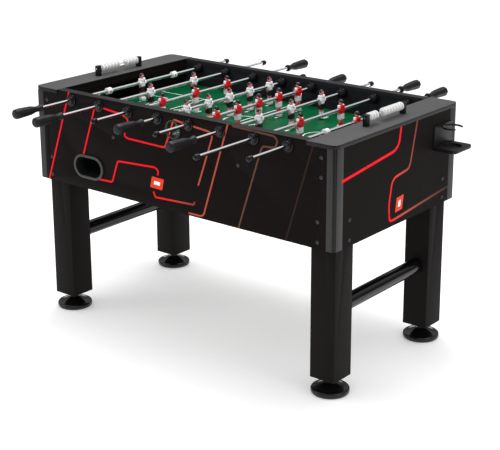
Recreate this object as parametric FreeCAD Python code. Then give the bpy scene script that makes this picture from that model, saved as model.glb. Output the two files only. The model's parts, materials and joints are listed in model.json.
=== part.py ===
"""Foosball table with eight rods, built as separate pieces that slide, turn and screw together.

Frame: millimetres, +Z up. The origin is on the floor under the middle of the table, +X runs along the
table towards its right end, and -Y is the front, the side where the white team stands.
"""
import FreeCAD
import Part
import math
import os

Vector = FreeCAD.Vector
X_AXIS = Vector(1, 0, 0)
Y_AXIS = Vector(0, 1, 0)
Z_AXIS = Vector(0, 0, 1)

# ---- driving dimensions -------------------------------------------------------------------------
TABLE_LENGTH = 1400.0          # over the two end boards
TABLE_WIDTH = 768.0            # over the end boards, front to rear
TOP_Z = 906.0                  # playing height: the top of the boards
BOARD_OVERHANG = 4.0
BOARD_THICK = 14.0
BOARD_CORNER_R = 26.0
BOARD_INNER_X = 582.0          # inner edge of each end board, which is also the goal wall's face
CABINET_BOTTOM_Z = 544.0
SIDE_THICK = 35.0
END_THICK = 18.0
POST_BEVEL = 10.0
POST_X = 34.0                  # how much of the long side a corner post covers
POST_Y = 46.0                  # and how much of the end

PLAY_Z = 801.0                 # surface of the playfield
PLAY_THICK = 8.0
GOAL_WALL_THICK = 12.0
GOAL_WIDTH = 204.0
GOAL_HEIGHT = 72.0

ROD_PITCH = 145.0
ROD_Z = 876.0
ROD_R = 6.35
ROD_WALL = 2.0
RUN_GAP = 0.05                 # radial gap of a running fit
SNUG_GAP = 0.1                 # radial gap of a fit that does not move

HOUSING_FLANGE_R = 23.0
HOUSING_FLANGE_THICK = 5.0
HOUSING_BOSS_R = 15.5
HOUSING_BOSS_THICK = 6.0
HOUSING_BARREL_R = 12.0
SLEEVE_R = 9.0
NUT_R = 21.0
NUT_THICK = 8.0
BUMPER_R = 15.0
BUMPER_LENGTH = 22.0
BUMPER_BORE_R = 7.0

MAN_HALF_WIDTH = 18.0
MAN_FOOT_DROP = 70.0           # from the rod's axis down to the sole
MAN_HEAD_RISE = 38.0           # from the rod's axis up to the crown
COLLAR_R = 13.0
COLLAR_LENGTH = 22.0
COLLAR_OFFSET = 185.0          # stop collars of a goalkeeper's rod, from the goalkeeper

GRIP_LENGTH = 130.0
CAP_LENGTH = 22.0
CAP_R = 10.5
STOP_GAP = 0.5                 # left between two pieces where a rod reaches its stop

LEG_SIZE = 100.0
LEG_WALL = 16.0
LEG_BOTTOM_Z = 60.0
LEG_TOP_Z = 660.0
LEG_FLOOR = 40.0               # solid block at the bottom of each leg
FOOT_R = 68.0
STUD_R = 6.0
BRACE_R = 28.0
BRACE_WALL = 3.0
BRACE_Z = 301.0

BOLT_HEAD_R = 7.0
BOLT_HEAD_THICK = 3.0
BOLT_R = 4.0
BOLT_ROWS_Z = (567.0, 637.0)   # two leg bolts, one above the other
BLOCK_SCREWS_Z = (791.0, 858.0)
SCREW_R = 2.5

SCORER_POST_SIZE = 19.0
SCORER_POST_HEIGHT = 40.0
SCORER_SPAN = 228.0            # between the two posts of a scorer
SCORER_X = 632.0
WIRE_R = 2.0
WIRE_RISE = 29.0
BEAD_R = 15.0
BEAD_PITCH = 17.6
BEAD_LENGTH = 17.2
BEAD_BORE_R = 2.5

RETURN_X = 428.0               # ball return, left of the middle at the front, right of it at the rear
RETURN_Z = 631.0
RETURN_WIDTH = 153.0
RETURN_HEIGHT = 92.0
ENTRY_Z = 846.0
ENTRY_FLANGE_R = 36.0

CUP_Y = 283.0
CUP_RING_R = 34.0              # inside the ring

# ---- sizes that follow --------------------------------------------------------------------------
HALF_LENGTH = TABLE_LENGTH / 2
HALF_WIDTH = TABLE_WIDTH / 2
CAB_X = HALF_LENGTH - BOARD_OVERHANG
CAB_Y = HALF_WIDTH - BOARD_OVERHANG
BOARD_Z = TOP_Z - BOARD_THICK
END_IN_X = CAB_X - END_THICK
SIDE_IN_Y = CAB_Y - SIDE_THICK
LEG_X = END_IN_X - LEG_SIZE / 2
LEG_Y = SIDE_IN_Y - LEG_SIZE / 2
PANEL_END_X = CAB_X - POST_X
END_HALF_Y = CAB_Y - POST_Y
BOSS_FACE_Y = CAB_Y + HOUSING_FLANGE_THICK + HOUSING_BOSS_THICK
STOP_FACE_Y = SIDE_IN_Y - NUT_THICK - BUMPER_LENGTH
ROD_X = [(i - 3.5) * ROD_PITCH for i in range(8)]

# One row for each rod: its figures, the distance between them, the side that its handle is on,
# how far the rod stands from its middle place, and where its two ends then are.
# Handles at the front belong to the white team, and those at the rear to the red team.
RODS = [
    {"figures": 1, "spacing": 0.0, "handle": -1, "place": 0.0, "grip_end": 658.0, "cap_end": 533.0},
    {"figures": 2, "spacing": 248.0, "handle": -1, "place": 20.0, "grip_end": 694.0, "cap_end": 604.0},
    {"figures": 3, "spacing": 187.0, "handle": 1, "place": -11.0, "grip_end": 694.0, "cap_end": 560.0},
    {"figures": 5, "spacing": 121.0, "handle": -1, "place": 18.0, "grip_end": 587.0, "cap_end": 493.0},
    {"figures": 5, "spacing": 121.0, "handle": 1, "place": 11.0, "grip_end": 560.0, "cap_end": 555.0},
    {"figures": 3, "spacing": 187.0, "handle": -1, "place": 18.0, "grip_end": 641.0, "cap_end": 550.0},
    {"figures": 2, "spacing": 248.0, "handle": 1, "place": 1.0, "grip_end": 650.0, "cap_end": 680.0},
    {"figures": 1, "spacing": 0.0, "handle": 1, "place": 15.0, "grip_end": 611.0, "cap_end": 593.0},
]


# ---- small helpers ------------------------------------------------------------------------------
def box(x0, x1, y0, y1, z0, z1):
    return Part.makeBox(x1 - x0, y1 - y0, z1 - z0, Vector(x0, y0, z0))


def rod_along(axis, radius, start, length):
    return Part.makeCylinder(radius, length, start, axis)


def cylinder_y(x, z, y0, y1, radius):
    """A cylinder whose axis runs along Y, from y0 to y1."""
    return rod_along(Y_AXIS, radius, Vector(x, min(y0, y1), z), abs(y1 - y0))


def cylinder_x(y, z, x0, x1, radius):
    return rod_along(X_AXIS, radius, Vector(min(x0, x1), y, z), abs(x1 - x0))


def cylinder_z(x, y, z0, z1, radius):
    return rod_along(Z_AXIS, radius, Vector(x, y, z0), z1 - z0)


def prism(points, direction):
    """A flat outline pushed along a direction."""
    corners = [Vector(*p) for p in points]
    return Part.Face(Part.makePolygon(corners + corners[:1])).extrude(direction)


def turned(profile, x, z):
    """A body turned about a line along Y through (x, z). The profile is a list of (y, radius)."""
    corners = [Vector(x, y, z + radius) for y, radius in profile]
    face = Part.Face(Part.makePolygon(corners + corners[:1]))
    return face.revolve(Vector(x, 0, z), Y_AXIS, 360)


def slot_y(x, z, width, height, y0, y1):
    """An upright oval with flat long sides, pushed along Y."""
    radius = height / 2
    reach = width / 2 - radius
    middle = box(x - reach, x + reach, min(y0, y1), max(y0, y1), z - radius, z + radius)
    ends = [cylinder_y(x + side * reach, z, y0, y1, radius) for side in (-1, 1)]
    return middle.fuse(ends).removeSplitter()


def fused(pieces):
    return pieces[0].fuse(pieces[1:]).removeSplitter()


def half_turn(shape):
    """The same piece at the far side of the table: turned 180 degrees about the upright axis."""
    copy = shape.copy()
    copy.rotate(Vector(0, 0, 0), Z_AXIS, 180)
    return copy


def mirrored(shape, normal):
    return shape.mirror(Vector(0, 0, 0), normal)


def group(pieces):
    return Part.makeCompound(pieces)


CORNERS = [(sx, sy) for sx in (-1, 1) for sy in (-1, 1)]


# ---- cabinet ------------------------------------------------------------------------------------
def side_panel_blank():
    """Front panel before its half turn to the rear: steps down under the end boards."""
    outline = [
        (-PANEL_END_X, -CAB_Y, CABINET_BOTTOM_Z),
        (PANEL_END_X, -CAB_Y, CABINET_BOTTOM_Z),
        (PANEL_END_X, -CAB_Y, BOARD_Z),
        (BOARD_INNER_X, -CAB_Y, BOARD_Z),
        (BOARD_INNER_X, -CAB_Y, TOP_Z),
        (-BOARD_INNER_X, -CAB_Y, TOP_Z),
        (-BOARD_INNER_X, -CAB_Y, BOARD_Z),
        (-PANEL_END_X, -CAB_Y, BOARD_Z),
    ]
    return prism(outline, Vector(0, SIDE_THICK, 0))


def side_panel():
    outside = -CAB_Y - 1
    inside = -SIDE_IN_Y + 1
    holes = [cylinder_y(x, ROD_Z, outside, inside, HOUSING_BARREL_R + SNUG_GAP) for x in ROD_X]
    holes.append(slot_y(-RETURN_X, RETURN_Z, RETURN_WIDTH - 14, RETURN_HEIGHT - 14, outside, inside))
    holes.append(cylinder_y(0, ENTRY_Z, outside, inside, ENTRY_FLANGE_R - 6))
    for x in (-LEG_X, LEG_X):
        holes += [cylinder_y(x, z, outside, inside, BOLT_R + SNUG_GAP) for z in BOLT_ROWS_Z]
        holes += [cylinder_y(x * 1.02, z, outside, inside, SCREW_R + SNUG_GAP) for z in BLOCK_SCREWS_Z]
    for x in (-LEDGER_SCREW_X, LEDGER_SCREW_X):
        holes.append(cylinder_y(x, LEDGER_SCREW_Z, outside, inside, SCREW_R + SNUG_GAP))
    return side_panel_blank().cut(holes)


def end_panel():
    """Right end panel, let in between the corner posts."""
    panel = box(END_IN_X, CAB_X, -END_HALF_Y, END_HALF_Y, CABINET_BOTTOM_Z, BOARD_Z)
    holes = []
    for y in (-LEG_Y, LEG_Y):
        holes += [cylinder_x(y, z, END_IN_X - 1, CAB_X + 1, BOLT_R + SNUG_GAP) for z in BOLT_ROWS_Z]
    return panel.cut(holes)


def corner_posts():
    """One post at each corner: a bevelled bar whose wing reaches over the end panel's edge."""
    posts = []
    for sx, sy in CORNERS:
        outer_x = sx * CAB_X
        inner_x = sx * PANEL_END_X
        outer_y = sy * CAB_Y
        inner_y = sy * SIDE_IN_Y
        outline = [
            (inner_x, inner_y, CABINET_BOTTOM_Z),
            (sx * END_IN_X, inner_y, CABINET_BOTTOM_Z),
            (sx * END_IN_X, sy * END_HALF_Y, CABINET_BOTTOM_Z),
            (outer_x, sy * END_HALF_Y, CABINET_BOTTOM_Z),
            (outer_x, outer_y - sy * POST_BEVEL, CABINET_BOTTOM_Z),
            (outer_x - sx * POST_BEVEL, outer_y, CABINET_BOTTOM_Z),
            (inner_x, outer_y, CABINET_BOTTOM_Z),
        ]
        posts.append(prism(outline, Vector(0, 0, BOARD_Z - CABINET_BOTTOM_Z)))
    return group(posts)


def top_board():
    """Right end board, with its two outer corners rounded."""
    board = box(BOARD_INNER_X, HALF_LENGTH, -HALF_WIDTH, HALF_WIDTH, BOARD_Z, TOP_Z)
    outer_edges = [
        edge for edge in board.Edges
        if all(abs(v.X - HALF_LENGTH) < 0.01 for v in edge.Vertexes)
        and abs(edge.Vertexes[0].Z - edge.Vertexes[-1].Z) > 1
    ]
    return board.makeFillet(BOARD_CORNER_R, outer_edges)


def goal_wall():
    """Right goal wall, standing on the end of the playfield."""
    wall = box(BOARD_INNER_X, BOARD_INNER_X + GOAL_WALL_THICK, -SIDE_IN_Y, SIDE_IN_Y, PLAY_Z, BOARD_Z)
    half = GOAL_WIDTH / 2
    mouth = box(BOARD_INNER_X - 1, BOARD_INNER_X + GOAL_WALL_THICK + 1, -half, half,
                PLAY_Z - 1, PLAY_Z + GOAL_HEIGHT)
    return wall.cut(mouth)


def playfield():
    half = BOARD_INNER_X + GOAL_WALL_THICK
    return box(-half, half, -SIDE_IN_Y, SIDE_IN_Y, PLAY_Z - PLAY_THICK, PLAY_Z)


LEDGER_THICK = 20.0
LEDGER_HEIGHT = 35.0
LEDGER_SCREW_X = 294.0
LEDGER_TOP_Z = PLAY_Z - PLAY_THICK
LEDGER_SCREW_Z = LEDGER_TOP_Z - 24.0
BATTEN_WIDTH = 40.0
BLOCK_X0 = 618.0
BLOCK_DEPTH = 45.0
BLOCK_Z0 = 745.0
SCREW_DEPTH = 15.0             # how far a wood screw goes into the timber behind the panel


def playfield_frame():
    """Timber under the playfield: two ledgers, three cross battens and four corner blocks."""
    half = BOARD_INNER_X + GOAL_WALL_THICK
    z0 = LEDGER_TOP_Z - LEDGER_HEIGHT
    pieces = []
    for sy in (-1, 1):
        y0, y1 = sorted((sy * SIDE_IN_Y, sy * (SIDE_IN_Y - LEDGER_THICK)))
        ledger = box(-half, half, y0, y1, z0, LEDGER_TOP_Z)
        holes = [cylinder_y(x, LEDGER_SCREW_Z, sy * SIDE_IN_Y, sy * (SIDE_IN_Y - SCREW_DEPTH),
                            SCREW_R + SNUG_GAP) for x in (-LEDGER_SCREW_X, LEDGER_SCREW_X)]
        pieces.append(ledger.cut(holes))
    batten_y = SIDE_IN_Y - LEDGER_THICK
    for x in (-LEDGER_SCREW_X, 0.0, LEDGER_SCREW_X):
        pieces.append(box(x - BATTEN_WIDTH / 2, x + BATTEN_WIDTH / 2, -batten_y, batten_y, z0, LEDGER_TOP_Z))
    for sx, sy in CORNERS:
        x0, x1 = sorted((sx * BLOCK_X0, sx * END_IN_X))
        y0, y1 = sorted((sy * SIDE_IN_Y, sy * (SIDE_IN_Y - BLOCK_DEPTH)))
        block = box(x0, x1, y0, y1, BLOCK_Z0, BOARD_Z)
        holes = [cylinder_y(sx * LEG_X * 1.02, z, sy * SIDE_IN_Y, sy * (SIDE_IN_Y - SCREW_DEPTH),
                            SCREW_R + SNUG_GAP) for z in BLOCK_SCREWS_Z]
        pieces.append(block.cut(holes))
    return group(pieces)


# ---- ball return --------------------------------------------------------------------------------
RUNWAY_WALL = 5.0
RUNWAY_DEPTH = 30.0
GUTTER_START = (112.0, 745.0)      # (y, z) of the goal gutter's floor at its high end
GUTTER_END = (-262.0, 708.0)
# (x, z) along the long runway's floor: over the leg, down past it, and a nearly level end to pick from.
RUNWAY_FLOOR = [(-END_IN_X, 700.0), (-575.0, 669.0), (-500.0, 600.0), (-350.0, 592.0)]


def goal_gutter():
    """Channel behind the left goal, falling towards the front."""
    x0 = -END_IN_X
    x1 = -(BOARD_INNER_X + GOAL_WALL_THICK)
    (y0, z0), (y1, z1) = GUTTER_START, GUTTER_END
    floor = prism([(x0, y0, z0 - RUNWAY_WALL), (x0, y0, z0), (x0, y1, z1), (x0, y1, z1 - RUNWAY_WALL)],
                  Vector(x1 - x0, 0, 0))
    cheek = prism([(x0, y0, z0), (x0, y0, z0 + RUNWAY_DEPTH), (x0, y1, z1 + RUNWAY_DEPTH), (x0, y1, z1)],
                  Vector(RUNWAY_WALL, 0, 0))
    far_cheek = cheek.translated(Vector(x1 - x0 - RUNWAY_WALL, 0, 0))
    back = box(x0, x1, y0, y0 + RUNWAY_WALL, z0 - RUNWAY_WALL, z0 + RUNWAY_DEPTH)
    return fused([floor, cheek, far_cheek, back])


def strip_along(points, drop, rise, y):
    """Upright outline at depth y that follows the points, from drop below them to rise above them."""
    upper = [(x, y, z + rise) for x, z in points]
    lower = [(x, y, z - drop) for x, z in reversed(points)]
    return upper + lower


def return_runway():
    """Channel behind the front panel, falling to the opening where the ball is picked up."""
    y0 = -SIDE_IN_Y
    width = SIDE_IN_Y + GUTTER_END[0]
    floor = prism(strip_along(RUNWAY_FLOOR, RUNWAY_WALL, 0, y0), Vector(0, width, 0))
    cheek = prism(strip_along(RUNWAY_FLOOR, 0, RUNWAY_DEPTH, y0), Vector(0, RUNWAY_WALL, 0))
    far_cheek = cheek.translated(Vector(0, width - RUNWAY_WALL, 0))
    x1, z1 = RUNWAY_FLOOR[-1]
    stop = box(x1, x1 + RUNWAY_WALL, y0, y0 + width, z1 - RUNWAY_WALL, z1 + 2 * RUNWAY_DEPTH)
    opening = slot_y(-RETURN_X, RETURN_Z, RETURN_WIDTH - 14, RETURN_HEIGHT - 14,
                     y0 - 1, y0 + RUNWAY_WALL + 1)
    return fused([floor, cheek.cut(opening), far_cheek, stop])


def ball_runways():
    left = [goal_gutter(), return_runway()]
    return group(left + [half_turn(piece) for piece in left])


def ball_return_bezels():
    """Oval surround: a flat rim outside and a collar through the panel."""
    rim = slot_y(-RETURN_X, RETURN_Z, RETURN_WIDTH, RETURN_HEIGHT, -CAB_Y - 5, -CAB_Y)
    collar = slot_y(-RETURN_X, RETURN_Z, RETURN_WIDTH - 14.4, RETURN_HEIGHT - 14.4, -CAB_Y, -SIDE_IN_Y)
    hole = slot_y(-RETURN_X, RETURN_Z, RETURN_WIDTH - 20, RETURN_HEIGHT - 20, -CAB_Y - 6, -SIDE_IN_Y + 1)
    bezel = rim.fuse(collar).cut(hole).removeSplitter()
    return group([bezel, half_turn(bezel)])


def ball_entry_cups():
    """Dish that the ball is thrown in through: a rim outside, narrowing towards the playfield."""
    out_y = -CAB_Y - 4
    in_y = -SIDE_IN_Y
    outside = [(out_y, 0), (out_y, ENTRY_FLANGE_R - 2), (-CAB_Y, ENTRY_FLANGE_R),
               (-CAB_Y, ENTRY_FLANGE_R - 6.2), (in_y, ENTRY_FLANGE_R - 6.2), (in_y, 0)]
    inside = [(out_y - 1, 0), (out_y - 1, ENTRY_FLANGE_R - 5), (out_y + 4, ENTRY_FLANGE_R - 8),
              (in_y, 21), (in_y + 1, 21), (in_y + 1, 0)]
    cup = turned(outside, 0, ENTRY_Z).cut(turned(inside, 0, ENTRY_Z))
    return group([cup, half_turn(cup)])


# ---- legs and feet ------------------------------------------------------------------------------
def leg_at(sx, sy):
    x = sx * LEG_X
    y = sy * LEG_Y
    half = LEG_SIZE / 2
    core = half - LEG_WALL
    leg = box(x - half, x + half, y - half, y + half, LEG_BOTTOM_Z, LEG_TOP_Z)
    cuts = [box(x - core, x + core, y - core, y + core, LEG_BOTTOM_Z + LEG_FLOOR, LEG_TOP_Z + 1)]
    cuts.append(cylinder_z(x, y, LEG_BOTTOM_Z - 1, LEG_BOTTOM_Z + LEG_FLOOR + 1, STUD_R + 0.3))
    for z in BOLT_ROWS_Z:
        cuts.append(cylinder_y(x, z, sy * SIDE_IN_Y, sy * (SIDE_IN_Y - LEG_WALL - 1), BOLT_R + SNUG_GAP))
        cuts.append(cylinder_x(y, z, sx * END_IN_X, sx * (END_IN_X - LEG_WALL - 1), BOLT_R + SNUG_GAP))
    return leg.cut(cuts)


def legs():
    return group([leg_at(sx, sy) for sx, sy in CORNERS])


def leg_braces():
    reach = LEG_Y - LEG_SIZE / 2
    tubes = []
    for sx in (-1, 1):
        tube = cylinder_y(sx * LEG_X, BRACE_Z, -reach, reach, BRACE_R)
        tubes.append(tube.cut(cylinder_y(sx * LEG_X, BRACE_Z, -reach, reach, BRACE_R - BRACE_WALL)))
    return group(tubes)


def levelling_foot(sx, sy):
    """Round pad with a coned top, a neck and a threaded stud that runs up into the leg."""
    x = sx * LEG_X
    y = sy * LEG_Y
    profile = [(0, 0), (0, FOOT_R - 4), (4, FOOT_R), (16, FOOT_R), (20, FOOT_R - 5), (32, 30), (36, 17),
               (44, 14), (44, STUD_R), (92, STUD_R), (92, 0)]
    corners = [Vector(x + radius, y, z) for z, radius in profile]
    face = Part.Face(Part.makePolygon(corners + corners[:1]))
    return face.revolve(Vector(x, y, 0), Z_AXIS, 360)


# ---- screws -------------------------------------------------------------------------------------
def headed_screw(head_at, direction, shank_r, length):
    """A screw whose head stands on the panel's face; direction points into the panel."""
    head = Part.makeCone(BOLT_HEAD_R, BOLT_HEAD_R - 2, BOLT_HEAD_THICK, head_at, direction.negative())
    shank = Part.makeCylinder(shank_r, length, head_at, direction)
    return head.fuse(shank).removeSplitter()


def panel_screws():
    pieces = []
    for sx, sy in CORNERS:
        into_side = Vector(0, -sy, 0)
        into_end = Vector(-sx, 0, 0)
        for z in BOLT_ROWS_Z:
            side_face = Vector(sx * LEG_X, sy * CAB_Y, z)
            end_face = Vector(sx * CAB_X, sy * LEG_Y, z)
            pieces.append(headed_screw(side_face, into_side, BOLT_R, SIDE_THICK + LEG_WALL))
            pieces.append(headed_screw(end_face, into_end, BOLT_R, END_THICK + LEG_WALL))
        for z in BLOCK_SCREWS_Z:
            face = Vector(sx * LEG_X * 1.02, sy * CAB_Y, z)
            pieces.append(headed_screw(face, into_side, SCREW_R, SIDE_THICK + SCREW_DEPTH))
        ledger_face = Vector(sx * LEDGER_SCREW_X, sy * CAB_Y, LEDGER_SCREW_Z)
        pieces.append(headed_screw(ledger_face, into_side, SCREW_R, SIDE_THICK + SCREW_DEPTH))
    return group(pieces)


# ---- rod bearings -------------------------------------------------------------------------------
def housing(x):
    """Front bearing housing: flange and boss outside, barrel through the panel to the nut."""
    flange_y = -CAB_Y - HOUSING_FLANGE_THICK
    barrel_y = -SIDE_IN_Y + NUT_THICK
    profile = [
        (-BOSS_FACE_Y, SLEEVE_R + RUN_GAP), (-BOSS_FACE_Y, HOUSING_BOSS_R - 3),
        (-BOSS_FACE_Y + 2, HOUSING_BOSS_R), (flange_y, HOUSING_BOSS_R),
        (flange_y, HOUSING_FLANGE_R - 3), (flange_y + 3, HOUSING_FLANGE_R), (-CAB_Y, HOUSING_FLANGE_R),
        (-CAB_Y, HOUSING_BARREL_R), (barrel_y, HOUSING_BARREL_R), (barrel_y, SLEEVE_R + RUN_GAP),
    ]
    return turned(profile, x, ROD_Z)


def at_both_sides(maker):
    front = [maker(x) for x in ROD_X]
    return group(front + [mirrored(piece, Y_AXIS) for piece in front])


def bearing_nut(x):
    y0 = -SIDE_IN_Y
    profile = [(y0, HOUSING_BARREL_R + SNUG_GAP), (y0, NUT_R), (y0 + NUT_THICK - 2, NUT_R),
               (y0 + NUT_THICK, NUT_R - 2), (y0 + NUT_THICK, HOUSING_BARREL_R + SNUG_GAP)]
    return turned(profile, x, ROD_Z)


def rod_bumper(x):
    y0 = -SIDE_IN_Y + NUT_THICK
    y1 = -STOP_FACE_Y
    profile = [(y0, BUMPER_BORE_R), (y0, BUMPER_R), (y1 - 3, BUMPER_R), (y1, BUMPER_R - 3), (y1, BUMPER_BORE_R)]
    return turned(profile, x, ROD_Z)


def rod_sleeves(x):
    """The pair of nylon sleeves that one rod runs in: they turn in the housings."""
    inner_y = -SIDE_IN_Y + NUT_THICK
    profile = [(-BOSS_FACE_Y, ROD_R + RUN_GAP), (-BOSS_FACE_Y, SLEEVE_R), (inner_y - 1, SLEEVE_R),
               (inner_y - 1, ROD_R + RUN_GAP)]
    front = turned(profile, x, ROD_Z)
    return group([front, mirrored(front, Y_AXIS)])


# ---- rods, figures and grips --------------------------------------------------------------------
def rod_tube(x, rod):
    """Steel tube from inside the grip to inside the end cap."""
    ends = sorted((rod["handle"] * (rod["grip_end"] - 14), -rod["handle"] * (rod["cap_end"] - 4)))
    outer = cylinder_y(x, ROD_Z, ends[0], ends[1], ROD_R)
    return outer.cut(cylinder_y(x, ROD_Z, ends[0], ends[1], ROD_R - ROD_WALL))


def figure(x, y, facing):
    """One player moulded in plastic, clamped on the rod at chest height. facing is +1 or -1 along X."""
    z = ROD_Z
    w = MAN_HALF_WIDTH
    chest = box(x - 9, x + 9, y - w, y + w, z - 16, z + 12)
    shoulders = cylinder_y(x, z + 10, y - w, y + w, 7)
    clamp = cylinder_y(x, z, y - w, y + w, 10.5)
    neck = cylinder_z(x, y, z + 12, z + 22, 5)
    head = Part.makeSphere(10.5, Vector(x, y, z + MAN_HEAD_RISE - 10.5))
    hips = [(x - 8, y - 11, z - 16), (x + 8, y - 11, z - 16), (x + 7, y - 11, z - 58), (x - 7, y - 11, z - 58)]
    thighs = prism(hips, Vector(0, 22, 0))
    sole = z - MAN_FOOT_DROP
    toe = x + facing * 11
    heel = x - facing * 9
    boot = [(heel, y - 12, sole), (toe, y - 12, sole), (toe, y - 12, sole + 5), (x + facing * 7, y - 12, z - 58),
            (heel, y - 12, z - 58)]
    boots = prism(boot, Vector(0, 24, 0))
    man = fused([chest, shoulders, clamp, neck, head, thighs, boots])
    return man.cut(cylinder_y(x, ROD_Z, y - w - 1, y + w + 1, ROD_R + SNUG_GAP))


def stop_collar(x, y):
    half = COLLAR_LENGTH / 2
    ring = cylinder_y(x, ROD_Z, y - half, y + half, COLLAR_R)
    return ring.cut(cylinder_y(x, ROD_Z, y - half - 1, y + half + 1, ROD_R + SNUG_GAP))


def figure_places(rod):
    first = -rod["spacing"] * (rod["figures"] - 1) / 2
    return [first + i * rod["spacing"] + rod["place"] for i in range(rod["figures"])]


def rod_figures(x, rod):
    """All that is clamped on one rod inside the table. White faces +X, red faces -X."""
    facing = -rod["handle"]
    pieces = [figure(x, y, facing) for y in figure_places(rod)]
    if rod["figures"] == 1:
        pieces += [stop_collar(x, rod["place"] + side * COLLAR_OFFSET) for side in (-1, 1)]
    return group(pieces)


def rod_grip_and_cap(x, rod):
    """Black plastic on the ends of one rod: the player's grip and the cap on the opposite end."""
    side = rod["handle"]
    end = rod["grip_end"]
    start = end - GRIP_LENGTH
    bore = ROD_R + SNUG_GAP
    grip = [(start, bore), (start, 12), (start + 5, 15), (start + 10, 14), (start + 22, 10.5),
            (start + 34, 10.5), (start + 50, 14.5), (end - 22, 18.5), (end - 8, 18), (end - 2, 14), (end, 8),
            (end, 0), (end - 14, 0), (end - 14, bore)]
    cap_end = rod["cap_end"]
    cap_start = cap_end - CAP_LENGTH
    cap = [(cap_start, bore), (cap_start, CAP_R - 1), (cap_start + 3, CAP_R), (cap_end - 9, CAP_R),
           (cap_end - 3, CAP_R - 3), (cap_end, 4), (cap_end, 0), (cap_end - 4, 0), (cap_end - 4, bore)]
    grip_solid = turned([(side * y, radius) for y, radius in grip], x, ROD_Z)
    cap_solid = turned([(-side * y, radius) for y, radius in cap], x, ROD_Z)
    return group([grip_solid, cap_solid])


def rod_travel(rod):
    """How far a rod can slide each way from where it stands, before something meets its stop."""
    half = COLLAR_LENGTH / 2 if rod["figures"] == 1 else MAN_HALF_WIDTH
    reach = COLLAR_OFFSET if rod["figures"] == 1 else rod["spacing"] * (rod["figures"] - 1) / 2
    inside = STOP_FACE_Y - reach - half
    grip_room = rod["grip_end"] - GRIP_LENGTH - BOSS_FACE_Y
    cap_room = rod["cap_end"] - CAP_LENGTH - BOSS_FACE_Y
    # The grip stops the rod from moving away from the player, and the cap from moving towards them.
    if rod["handle"] < 0:
        forwards, backwards = grip_room, cap_room
    else:
        forwards, backwards = cap_room, grip_room
    low = -min(inside + rod["place"], backwards) + STOP_GAP
    high = min(inside - rod["place"], forwards) - STOP_GAP
    return low, high


# ---- scorers and cup holders --------------------------------------------------------------------
def scorer_posts():
    posts = []
    half = SCORER_POST_SIZE / 2
    for x in (-SCORER_X, SCORER_X):
        for y in (-SCORER_SPAN / 2, SCORER_SPAN / 2):
            post = box(x - half, x + half, y - half, y + half, TOP_Z, TOP_Z + SCORER_POST_HEIGHT)
            upright = [edge for edge in post.Edges if abs(edge.Vertexes[0].Z - edge.Vertexes[-1].Z) > 1]
            hole = cylinder_y(x, TOP_Z + WIRE_RISE, y - half - 1, y + half + 1, WIRE_R + SNUG_GAP)
            posts.append(post.makeFillet(3, upright).cut(hole))
    return group(posts)


def scorer_wires():
    reach = SCORER_SPAN / 2 + SCORER_POST_SIZE / 2
    return group([cylinder_y(x, TOP_Z + WIRE_RISE, -reach, reach, WIRE_R) for x in (-SCORER_X, SCORER_X)])


def bead_pile(x, count, side):
    """Beads pushed up against one post: side is -1 for the front post and +1 for the rear one."""
    z = TOP_Z + WIRE_RISE
    first = SCORER_SPAN / 2 - SCORER_POST_SIZE / 2 - 0.5
    beads = []
    for i in range(count):
        outer = side * (first - i * BEAD_PITCH)
        inner = outer - side * BEAD_LENGTH
        bead = cylinder_y(x, z, outer, inner, BEAD_R)
        beads.append(bead.cut(cylinder_y(x, z, outer + side, inner - side, BEAD_BORE_R)))
    return group(beads)


def bead_room(count_front, count_rear):
    """Half of the gap between the two piles, less a little, so that they never meet."""
    span = SCORER_SPAN - SCORER_POST_SIZE - 1.0
    gap = span - (count_front + count_rear) * BEAD_PITCH
    return gap / 2


CUP_PLATE = (222.0, 344.0, 757.0, 845.0)   # y and z of the back plate
CUP_PLATE_THICK = 4.0
CUP_TRAY_REACH = 85.0
CUP_TRAY_THICK = 13.0
CUP_RING_Z = 834.0
CUP_RING_HEIGHT = 7.0


def cup_holder():
    """Right cup holder: a back plate, an open ring and a tray under it, moulded as one piece."""
    y0, y1, z0, z1 = CUP_PLATE
    face = CAB_X
    plate = box(face, face + CUP_PLATE_THICK, y0, y1, z0, z1)
    tray = box(face, face + CUP_TRAY_REACH + CUP_PLATE_THICK, y0, y1, z0, z0 + CUP_TRAY_THICK)
    tray_edges = [
        edge for edge in tray.Edges
        if all(abs(v.X - face - CUP_TRAY_REACH - CUP_PLATE_THICK) < 0.01 for v in edge.Vertexes)
        and abs(edge.Vertexes[0].Z - edge.Vertexes[-1].Z) > 1
    ]
    tray = tray.makeFillet(14, tray_edges)
    well = cylinder_z(face + 42, CUP_Y, z0 + 4, z0 + CUP_TRAY_THICK + 1, CUP_RING_R)
    centre_x = face + CUP_RING_R + CUP_PLATE_THICK + 2
    ring_top = CUP_RING_Z + CUP_RING_HEIGHT
    ring = cylinder_z(centre_x, CUP_Y, CUP_RING_Z, ring_top, CUP_RING_R + 4)
    ring = ring.cut(cylinder_z(centre_x, CUP_Y, CUP_RING_Z - 1, ring_top + 1, CUP_RING_R))
    mouth = box(centre_x + 26, centre_x + 60, CUP_Y - 40, CUP_Y + 40, CUP_RING_Z - 1, ring_top + 1)
    ring = ring.cut(mouth)
    return fused([plate, tray.cut(well), ring])


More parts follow.
